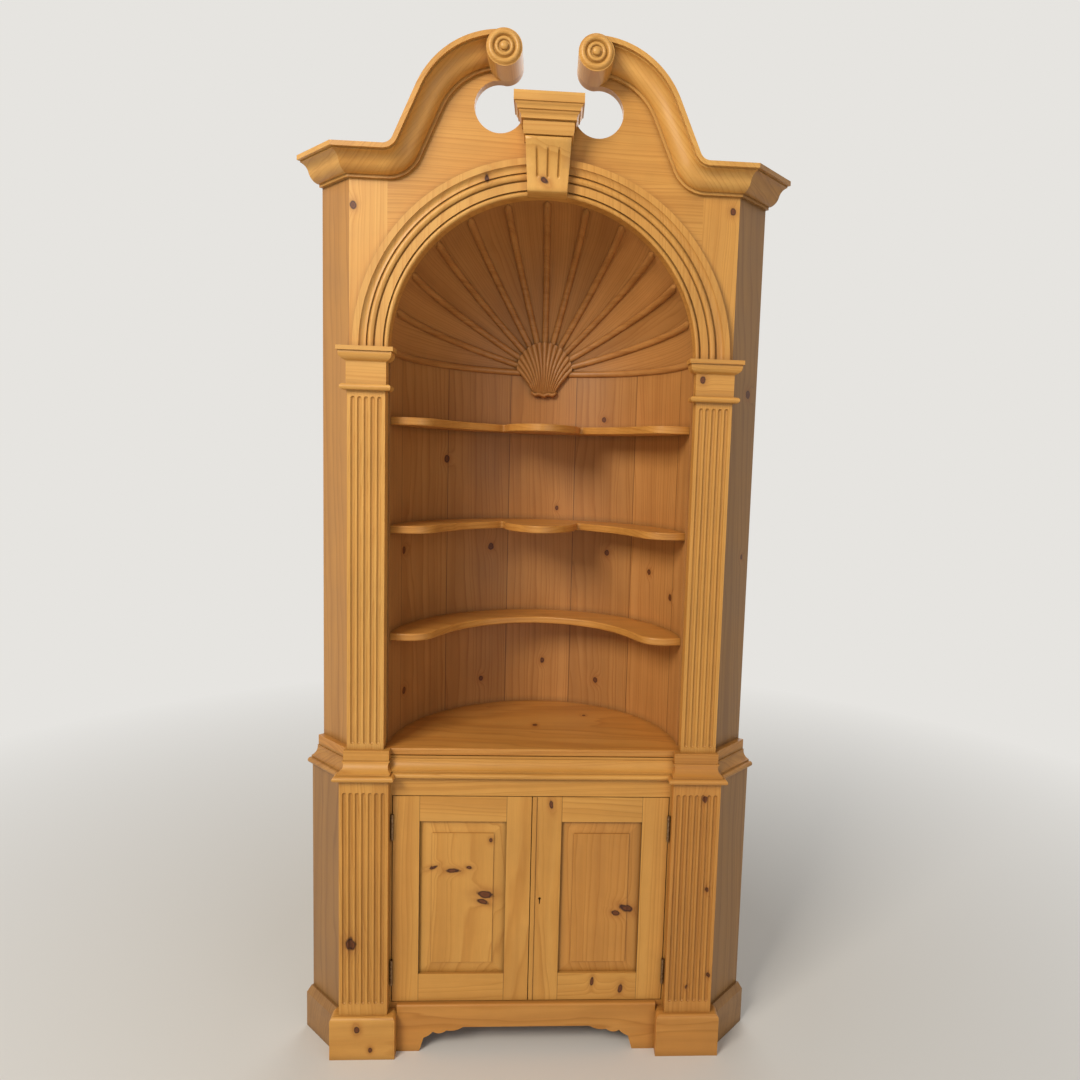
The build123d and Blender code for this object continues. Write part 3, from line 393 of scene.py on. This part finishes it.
face_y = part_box("spandrel_board")[0][1]
key_foot, key_top = (corner[2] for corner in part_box("keystone"))
foot_half, middle_half, top_half = 0.0435, 0.046, 0.05

# Its side view, forward from the face and up from its foot, in millimetres.
key_side = flow([(30, 0), (36, 3), (38, 10), (36.5, 20), (36.5, 38), (39, 56), (44, 74),
                 (50, 89), (54.5, 99), (56, 105), (54, 110), (46, 112.5)], 6)
flute_middles = (-0.023, 0.0, 0.023)
flute_half, flute_deep, flute_run_out = 0.0032, 0.0042, 0.004
flute_low, flute_high = key_foot + 0.031, key_foot + 0.09
# Columns of points across its face, as shares of half its width, close together at the flutes.
columns = [-1.0, -0.97]
for middle in flute_middles:
    columns += [(middle + k * flute_half) / middle_half for k in (-1.6, -1, -0.4, 0, 0.4, 1, 1.6)]
columns += [0.97, 1.0]
key_loops = []
for out, up in key_side:
    z = key_foot + up * 0.001
    half = foot_half + (top_half - foot_half) * (z - key_foot) / (key_top - key_foot)
    loop = []
    for column in columns:
        in_flute = max(max(0.0, 1 - abs(column * middle_half - middle) / flute_half)
                       for middle in flute_middles)
        along_flute = min(1.0, max(0.0, min(z - flute_low, flute_high - z) / flute_run_out))
        worn_corner = 0.001 if abs(column) == 1.0 else 0.0
        y = face_y - out * 0.001 + in_flute * along_flute * flute_deep + worn_corner
        loop.append((column * half, y, z))
    key_loops.append(loop + [(half, face_y, z), (-half, face_y, z)])
key_knot = (-0.007, -0.3, key_foot + 0.026, 6, 1.7, -35)
# The console takes the lightest copy of the pine, as painted light.
keystone = loft("keystone_console", key_loops,
                pine("waxed pine, keystone", "up", "lit", 35, [key_knot]))
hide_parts("keystone")

# Keystone cap.
# A separate block on top of the console, moulded on three sides with hollows and fillets.

cap_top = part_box("keystone_cap")[1][2]
cap_forward = 0.05
cap_tall_mm = 80

# Its moulding, out from the block and up from its foot, in millimetres.
cap_side = ([(1.0, 0), (3.0, 1)] + flow([(3.0, 1), (4.6, 8), (5.4, 18), (5.0, 27)], 4)[1:]
            + [(3.5, 28.5), (3.5, 30), (9.5, 30.5), (9.5, 33)]
            + flow([(9.5, 33), (10.5, 38), (13.5, 42), (14.5, 44)], 4)[1:]
            + [(14.5, 46), (17.5, 46.5)]
            + flow([(17.5, 46.5), (18.5, 52), (21.5, 56), (22.0, 58)], 4)[1:]
            + [(22.0, 59.5), (25.0, 60), (25.0, cap_tall_mm)])
cap_loops = []
for out, up in cap_side:
    half = top_half + out * 0.001
    front = face_y - cap_forward - out * 0.001
    z = key_top + up * (cap_top - key_top) / cap_tall_mm
    cap_loops.append([(-half, front, z), (half, front, z), (half, face_y, z), (-half, face_y, z)])
# The cap takes the lightest copy of the pine, as painted light.
keystone_cap = loft("keystone_cap_block", cap_loops,
                    pine("waxed pine, keystone cap", "across", "lit", 36))
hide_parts("keystone_cap")

# Crown moulding, its canted returns and the two volutes.
# The swan necks were carved to the sweep, and each dies into a turned roll.

# The right neck, the left return and the volutes take the lightest copy of the pine, as painted light,
# and the right return a darker one, as painted shade.
dress("crown_left", pine("waxed pine, left swan neck", "rising_left", "front", 37))
dress("crown_right", pine("waxed pine, right swan neck", "rising_right", "lit", 38))
dress("crown_return_left", pine("waxed pine, left crown return", "canted_left", "lit", 39))
dress("crown_return_right", pine("waxed pine, right crown return", "canted_right", "side", 40))
dress("volute_left", pine("waxed pine, left volute", "deep", "lit", 41, ring_mm=6))
dress("volute_right", pine("waxed pine, right volute", "deep", "lit", 42, ring_mm=6))

# Niche: coopered back and half dome.
# Staves glued edge to edge and tapered gores above them, in a darker tone than the front that
# is painted shade inside the niche.

niche_r, axis_y, spring = 0.347, -0.2375, 1.6555
stave_turn, gore_turn = radians(30), radians(15)


def niche_boards(tree, place, how):
    # Splits the coopered back or the half dome into its boards, with the grain along each one.
    # Gives the place in the wood, each board's luck, and how far the nearest joint is.
    x, y, z = node(tree, "SeparateXYZ", {0: place}).node.outputs
    y = node(tree, "Math", {0: y, 1: axis_y}, operation="SUBTRACT")
    # A stave stands across the middle of the back, and two gores meet at the middle of the dome.
    if how == "staves":
        beside, turn, first = y, stave_turn, 0.5
    else:
        beside = node(tree, "Math", {0: z, 1: spring}, operation="SUBTRACT")
        turn, first = gore_turn, 0.0
    angle = node(tree, "Math", {0: x, 1: beside}, operation="ARCTAN2")
    board = node(tree, "Math", {0: angle, 1: 1 / turn, 2: first}, operation="MULTIPLY_ADD")
    from_axis = node(tree, "CombineXYZ", {0: x, 1: beside})
    from_axis = node(tree, "VectorMath", {0: from_axis}, "Value", operation="LENGTH")
    if how == "staves":
        width = niche_r * turn
        along = z
        out = from_axis
    else:
        width = node(tree, "Math", {0: from_axis, 1: turn}, operation="MULTIPLY")
        along = node(tree, "Math", {0: from_axis, 1: y}, operation="ARCTAN2")
        along = node(tree, "Math", {0: along, 1: niche_r}, operation="MULTIPLY")
        out = node(tree, "Math", {0: from_axis, 1: 0.1}, operation="MULTIPLY")
    within = node(tree, "Math", {0: board}, operation="FRACT")
    across = node(tree, "Math", {0: within, 1: 0.5}, operation="SUBTRACT")
    across = node(tree, "Math", {0: across, 1: width}, operation="MULTIPLY")
    other_edge = node(tree, "Math", {0: 1.0, 1: within}, operation="SUBTRACT")
    joint = node(tree, "Math", {0: within, 1: other_edge}, operation="MINIMUM")
    joint = node(tree, "Math", {0: joint, 1: width}, operation="MULTIPLY")
    number = node(tree, "Math", {0: board}, operation="FLOOR")
    luck = node(tree, "TexWhiteNoise", {"W": number}, noise_dimensions="1D").node.outputs
    shape = node(tree, "CombineXYZ", {0: across, 1: out, 2: along})
    # Each board was cut from another place in the trunk, up to this far away in metres.
    away = (0.16, 0.1, 3.0)
    wood = node(tree, "VectorMath", {0: luck["Color"], 1: away, 2: shape}, operation="MULTIPLY_ADD")
    return wood, luck["Value"], joint


def show_joint(tree, look, joint, hairline_mm):
    # The joint between two boards shows as a hairline filled with old dirt.
    line = node(tree, "MapRange", {0: joint, 1: 0.0, 2: hairline_mm * 0.001, 3: 0.8, 4: 0.0})
    return node(tree, "Mix", {0: line, 6: look, 7: colour("#2E190B")}, 2, data_type="RGBA")


stave_knots = [(-0.33, -0.13, 0.834, 8), (-0.155, 0.073, 0.81, 7), (0.014, 0.109, 0.855, 8),
               (0.164, 0.069, 0.811, 8), (-0.135, 0.082, 1.18, 9), (0.184, 0.056, 1.172, 8),
               (-0.332, -0.136, 1.189, 8), (0.165, 0.068, 1.534, 7), (0.289, -0.045, 1.136, 7),
               (0.332, -0.137, 1.086, 8), (-0.248, 0.005, 1.415, 9), (0.044, 0.107, 1.289, 6)]
dress("back_staves", pine("old pine, coopered back", "up", "painted_niche_shade", 43, stave_knots, ring_mm=7,
                          boards="staves", rough=0.5))
dress("dome_gores", pine("old pine, dome gores", "up", "painted_niche_shade", 44, ring_mm=6, boards="gores",
                         rough=0.5))

# Ribs of the half dome.
# Half-round beads bent to the dome and pinned over the joints between the gores. Their front
# ends are rounded off behind the arch, and the other ends run under the shell.

rib_count = 13
rib_half, rib_high = 0.0088, 0.0082
rib_start, rib_stop = radians(1.5), radians(79)
rib_steps, rib_sides = 36, 8
# What lies on the niche is bedded into it by half a millimetre, and a rounded end never
# shrinks quite to nothing.
bedded = 0.0005
blunt = 0.02


def rib_loops(turn):
    # The rib's half-round section, step by step along its bend.
    spoke = Vector((cos(turn), 0, sin(turn)))
    aside = Vector((-sin(turn), 0, cos(turn)))
    back = Vector((0, 1, 0))
    loops = []
    for i in range(rib_steps + 1):
        swing = rib_start + (rib_stop - rib_start) * i / rib_steps
        outwards = cos(swing) * spoke + sin(swing) * back
        # The first centimetre swells from nothing, like a rounded end.
        short = 1 - min(1.0, (swing - rib_start) * niche_r / rib_half)
        full = min(1.0, sqrt(max(blunt, 1 - short ** 2)))
        foot = Vector((0, axis_y, spring)) + (niche_r + bedded) * outwards
        loops.append([tuple(foot + aside * rib_half * full * cos(a) - outwards * rib_high * full * sin(a))
                      for a in [pi * k / rib_sides for k in range(rib_sides + 1)]])
    return loops


# The ribs take the niche's darker copy of the pine, as painted shade.
rib_pine = pine("old pine, dome ribs", "deep", "painted_niche_shade", 45, ring_mm=40)
for i in range(rib_count):
    rib = loft(f"dome_rib_{i + 1}", rib_loops(i * gore_turn), rib_pine, 60)
    if i == 0:
        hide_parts("dome_ribs")

# Shelves.
# Each is one board sawn to a curve, with a round lobe at both ends and, on the upper two, a
# third lobe in the middle. The front edge is rounded over, the back follows the staves.

# Half of each front edge, out from the middle and back from the niche's axis, in millimetres.
side_curve = [(95, 216), (140, 190), (182, 152), (212, 110), (234, 68), (252, 30), (274, 8),
              (302, 1), (328, 3), (346.5, 6)]
plain_front = flow([(0, 239), (50, 232)] + side_curve, 6)
lobe_half, lobe_deep, lobe_front = 93, 118, 96
lobed_front = ([(x, lobe_front + lobe_deep * (1 - sqrt(1 - (x / lobe_half) ** 2)) ** 0.8)
                for x in range(0, 92, 7)]
               + flow([(95, 219), (104, 222), (124, 204)] + side_curve[2:], 6))
shelf_gap = 0.0003
rim_from, rim_sweep, rim_steps = 1.6, 176.8, 60
nose_mm = 5.0


def shelf_board(node_name, front, material):
    # One shelf, as thick and as high up as the plainer solid that it stands for.
    low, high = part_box(node_name)[0][2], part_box(node_name)[1][2]
    half = [(x * 0.001, axis_y + y * 0.001) for x, y in front]
    back_r = niche_r - shelf_gap
    rim = [(back_r * cos(a), axis_y + back_r * sin(a)) for a in
           [radians(rim_from + rim_sweep * k / rim_steps) for k in range(rim_steps + 1)]]
    plan = [(-x, y) for x, y in half[:0:-1]] + half + rim
    loops = [[(x, y, z) for x, y in plan] for z in (low, high)]
    board = loft(node_name + "_board", loops, material, 40, nose_mm)
    # Only the front edges are rounded over, above and below.
    nosing = board.data.attributes.new("bevel_weight_edge", "FLOAT", "EDGE")
    for edge in board.data.edges:
        first, last = edge.vertices
        level = first // len(plan) == last // len(plan)
        at_front = max(first % len(plan), last % len(plan)) < len(plan) - len(rim)
        nosing.data[edge.index].value = float(level and at_front)
    board.modifiers[0].limit_method = "WEIGHT"
    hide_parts(node_name)


# The shelves take a darker copy of the pine, as painted shade.
shelf_board("shelf_bottom", plain_front, pine("old pine, lowest shelf", "across", "painted_half_shade", 48))
shelf_board("shelf_middle", lobed_front, pine("old pine, middle shelf", "across", "painted_half_shade", 47))
shelf_board("shelf_top", lobed_front, pine("old pine, top shelf", "across", "painted_half_shade", 46))

# Shell over the springing.
# Carved from one block to a scallop of fifteen flutes on a small scrolled foot, hollowed
# behind to lie on the niche, and left crisp from the gouge.

flute_count = 15
# Its outline and its relief, in millimetres. The fan starts at the foot, spreads through the
# bend and ends at the rim, whose lobes stand out by the scallop's share.
shell_half, shell_rise, shell_drop = 74.0, 80.0, 52.0
rim_ends_up, scallop = 5, 0.022
foot_half_mm, foot_sag = 30, 3
bend_half, bend_low, bend_arch = 44, 26, 36
shell_edge, shell_swell = 6.5, 20
swell_from, swell_sweep, flatter_sides = 0.12, 0.86, 0.75
relief_at_foot, relief_more_at_rim, crest_round = 0.8, 3.4, 0.7
rows_up, steps_a_flute = 24, 8


def niche_depth(x, z):
    # The back of the niche, a cylinder below the springing and a sphere above it.
    up = max(0.0, z - spring)
    return axis_y + sqrt((niche_r + bedded) ** 2 - x * x - up * up)


def flute_wave(u):
    # 0 in the valleys between the flutes and 1 on their crests.
    return abs(sin(pi * flute_count * (u + 1) / 2))


def shell_spot(u, v):
    # u runs across the fan from -1 to 1, v from the foot to the rim, in millimetres from spring.
    swing = u * pi / 2
    lobe = 1 + scallop * flute_wave(u) * v
    rim = (shell_half * sin(swing) * lobe,
           rim_ends_up + (shell_rise - rim_ends_up) * cos(swing) * lobe)
    foot = (foot_half_mm * u, -shell_drop - foot_sag * (1 - u * u))
    bend = (bend_half * u, -bend_low + bend_arch * (1 - u * u))
    return tuple((1 - v) ** 2 * f + 2 * v * (1 - v) * b + v * v * r for f, b, r in zip(foot, bend, rim))


shell_rows = []
for j in range(rows_up + 1):
    v = j / rows_up
    front, behind = [], []
    for i in range(flute_count * steps_a_flute + 1):
        u = -1 + 2 * i / (flute_count * steps_a_flute)
        x, z = (c * 0.001 for c in shell_spot(u, v))
        z += spring
        crest = flute_wave(u) ** crest_round
        swell = shell_swell * sin(pi * (swell_from + swell_sweep * v)) * (1 - flatter_sides * u * u)
        out = shell_edge + swell + (relief_at_foot + relief_more_at_rim * v) * crest
        front.append((x, niche_depth(x, z) - out * 0.001, z))
        behind.append((x, niche_depth(x, z), z))
    shell_rows.append(front + behind[::-1])
# The shell and its foot take the niche's darker copy of the pine, as painted shade.
shell_pine = pine("old pine, carved shell", "up", "painted_niche_shade", 49, ring_mm=14)
shell = loft("carved_shell", shell_rows, shell_pine, 50, strip=True)
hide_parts("shell_carving")

# The scrolled foot is a wavy roll across the bottom of the shell, deeper than it is thick.
roll_half, roll_thick, roll_deeper, roll_forward = 0.036, 0.0062, 1.7, 0.008
roll_z, roll_curls_up, roll_wave = spring - 0.0585, 0.005, 0.002
roll_steps, roll_sides = 24, 14
roll_loops = []
for i in range(roll_steps + 1):
    t = -1 + 2 * i / roll_steps
    x = roll_half * t
    z = roll_z + roll_curls_up * t * t - roll_wave * cos(3 * pi * t)
    thick = roll_thick * sqrt(max(blunt, 1 - t ** 6))
    behind = niche_depth(x, z)
    loop = []
    for k in range(roll_sides):
        a = 2 * pi * k / roll_sides
        y = behind - roll_forward - roll_deeper * thick * cos(a)
        loop.append((x, min(behind, y), z + thick * sin(a)))
    roll_loops.append(loop)
loft("shell_foot", roll_loops, shell_pine, 60)

# Doors: stiles, rails and a raised and fielded panel in each.
# Framed with pegged tenons, the panels loose in their grooves.


def rail_grain(tree, place, wood, rails):
    # Lays the grain across between the two stiles, and gives how far the nearest joint is.
    left, right = rails
    x = node(tree, "SeparateXYZ", {0: place})
    lying = node(tree, "Mapping", {"Vector": place, "Location": (0.3, 0, 0.2),
                                   "Rotation": GRAIN_TURN["across"]})
    past_left = node(tree, "Math", {0: x, 1: left}, operation="GREATER_THAN")
    before_right = node(tree, "Math", {0: x, 1: right}, operation="LESS_THAN")
    on_rail = node(tree, "Math", {0: past_left, 1: before_right}, operation="MULTIPLY")
    wood = node(tree, "Mix", {0: on_rail, 4: wood, 5: lying}, 1, data_type="VECTOR")
    edges = []
    for edge in rails:
        apart = node(tree, "Math", {0: x, 1: edge}, operation="SUBTRACT")
        edges.append(node(tree, "Math", {0: apart}, operation="ABSOLUTE"))
    return wood, node(tree, "Math", {0: edges[0], 1: edges[1]}, operation="MINIMUM")


dress("door_frame_left", pine("waxed pine, left door frame", "up", "front", 50,
                              [(-0.07, -0.294, 0.553, 4)], rails=(-0.262, -0.059)), 0.7)
dress("door_frame_right", pine("waxed pine, right door frame", "up", "front", 51,
                               [(0.045, -0.294, 0.612, 11, 0.45, 8), (0.224, -0.294, 0.148, 5, 2.2, 80),
                                (0.155, -0.294, 0.166, 4, 2.6, 85)], rails=(0.071, 0.262)), 0.7)
dress("door_panel_left", pine("waxed pine, left panel", "up", "front", 52,
                              [(-0.228, -0.29, 0.455, 4, 2.6, 25), (-0.183, -0.29, 0.447, 6, 2.8, 0),
                               (-0.145, -0.29, 0.455, 4, 1.8, -10), (-0.095, -0.29, 0.522, 6),
                               (-0.106, -0.29, 0.388, 9, 2.1, -8), (-0.112, -0.29, 0.37, 6, 2.4, -16)]),
      0.6)
# The right panel takes a darker copy of the pine than the left, as painted shade.
dress("door_panel_right", pine("waxed pine, right panel", "up", "painted_half_shade", 53,
                               [(0.232, -0.29, 0.352, 8, 2.3, -24), (0.206, -0.29, 0.341, 6, 1.8, -20)]),
      0.6)

# Hinges, bolt, lock and its brass bolt.
# Forged iron butt hinges, a rail bolt and a lock case screwed on behind, and a cast brass bolt.


def old_metal(name, light, dark, rough):
    # Iron or brass gone dull, in clouds of darker oxide, which lose the shine unevenly.
    material = bpy.data.materials.new(name)
    material.use_nodes = True
    tree = material.node_tree
    shader = tree.nodes["Principled BSDF"]
    place = node(tree, "TexCoord", {}, "Object")
    cloud = node(tree, "TexNoise", {"Vector": place, "Scale": 1000 / 4.545, "Detail": 6.0})
    tint = node(tree, "ValToRGB", {"Fac": cloud}, stops=[(0.35, dark), (0.7, light)])
    gloss = node(tree, "Math", {0: cloud, 1: 0.3, 2: rough - 0.15}, operation="MULTIPLY_ADD")
    bump = node(tree, "Bump", {"Height": cloud, "Strength": 0.3, "Distance": 0.0003})
    tree.links.new(tint, shader.inputs["Base Color"])
    tree.links.new(gloss, shader.inputs["Roughness"])
    tree.links.new(bump, shader.inputs["Normal"])
    shader.inputs["Metallic"].default_value = 1.0
    return material


iron = old_metal("forged iron", "#A8906E", "#6E563C", 0.5)
for piece in ("case_hinges", "door_hinges_left", "door_hinges_right", "lock_case", "left_bolt",
              "left_bolt_keep"):
    dress(piece, iron, 0.2)
dress("lock_bolt", old_metal("old cast brass", "#B08A4A", "#7A5A2C", 0.4), 0.3)

# Floor and backdrop.
# A pale matt floor that keeps the cabinet's shadow. Away from the cabinet it turns into the
# plain backdrop, for the eye and for gloss.

backdrop = colour("#E6E4E0")
reach = 9.0
backdrop_from, backdrop_whole = 0.762, 3.143


def seen(tree):
    # 1 for rays from the camera, off gloss and through glass.
    ray = node(tree, "LightPath", {}).node.outputs
    bounced = node(tree, "Math", {0: ray["Is Glossy Ray"], 1: ray["Is Transmission Ray"]},
                   operation="ADD")
    return node(tree, "Math", {0: ray["Is Camera Ray"], 1: bounced}, operation="ADD",
                use_clamp=True)


floor_mesh = bpy.data.meshes.new("floor")
floor_mesh.from_pydata([(-reach, -reach, 0), (reach, -reach, 0), (reach, reach, 0),
                        (-reach, reach, 0)], [], [(0, 1, 2, 3)])
floor = bpy.data.objects.new("floor", floor_mesh)
bpy.context.collection.objects.link(floor)
pale = bpy.data.materials.new("pale floor")
pale.use_nodes = True
paint = pale.node_tree
ground = paint.nodes["Principled BSDF"]
ground.inputs["Base Color"].default_value = colour("#DDDAD4")
ground.inputs["Roughness"].default_value = 0.9
away = node(paint, "VectorMath", {0: node(paint, "TexCoord", {}, "Object")}, "Value",
            operation="LENGTH")
away = node(paint, "MapRange", {0: away, 1: backdrop_from, 2: backdrop_whole, 3: 0.0, 4: 1.0})
away = node(paint, "Math", {0: away, 1: seen(paint)}, operation="MULTIPLY")
far_floor = node(paint, "Emission", {"Color": backdrop, "Strength": 1.0})
floor_mix = node(paint, "MixShader", {0: away, 1: ground.outputs[0], 2: far_floor})
paint.links.new(floor_mix, paint.nodes["Material Output"].inputs[0])
floor_mesh.materials.append(pale)

world = bpy.data.worlds.new("studio")
bpy.context.scene.world = world
world.use_nodes = True
studio = world.node_tree
sky = studio.nodes["Background"]
sky.inputs["Color"].default_value = colour("#F4F2EE")
sky.inputs["Strength"].default_value = 0.35
far_wall = node(studio, "Background", {"Color": backdrop, "Strength": 1.0})
blend = node(studio, "MixShader", {0: seen(studio), 1: sky.outputs[0], 2: far_wall})
studio.links.new(blend, studio.nodes["World Output"].inputs[0])

# Lamps.
# A large soft key from the left and above, a weak fill from the right, and one behind.


def lamp(name, where, aim, size, watts, tint):
    light = bpy.data.lights.new(name, "AREA")
    light.shape = "RECTANGLE"
    light.size, light.size_y = size
    light.energy = watts
    light.color = colour(tint)[:3]
    holder = bpy.data.objects.new(name, light)
    bpy.context.collection.objects.link(holder)
    holder.location = where
    holder.rotation_euler = (Vector(aim) - Vector(where)).to_track_quat("-Z", "Y").to_euler()


lamp("key", (-2.3, -3.3, 3.6), (0, -0.2, 1.5), (1.7, 1.7), 150, "#FFF7EC")
lamp("fill", (2.6, -3.6, 2.0), (0, 0, 1.1), (2.6, 2.6), 22, "#F2F6FF")
lamp("rear", (0.5, 3.6, 3.0), (0, 0, 1.2), (3.0, 2.0), 40, "#FFFFFF")

# Camera.
# 1.4 m up and two metres off, a little right of the middle, turned slightly down and not
# quite level.

picture_px, focal_px, centre_px = 1080, 774.4, 591.2
eye_place = (0.0182, -2.0517, 1.4151)
yaw, pitch, roll = radians(3.3), radians(5.64), radians(1.8)
ahead = Vector((sin(yaw) * cos(pitch), cos(yaw) * cos(pitch), -sin(pitch)))
level = ahead.cross(Vector((0, 0, 1))).normalized()
lift = level.cross(ahead)
right = cos(roll) * level + sin(roll) * lift
upward = cos(roll) * lift - sin(roll) * level
eye = bpy.data.cameras.new("eye")
eye.sensor_width = 36.0
eye.lens = focal_px * eye.sensor_width / picture_px
eye.shift_x = 0.5 - centre_px / picture_px
eye_holder = bpy.data.objects.new("eye", eye)
bpy.context.collection.objects.link(eye_holder)
facing = Matrix((right, upward, -ahead)).transposed()
eye_holder.matrix_world = Matrix.Translation(eye_place) @ facing.to_4x4()
bpy.context.scene.camera = eye_holder
bpy.context.scene.view_settings.view_transform = "Standard"
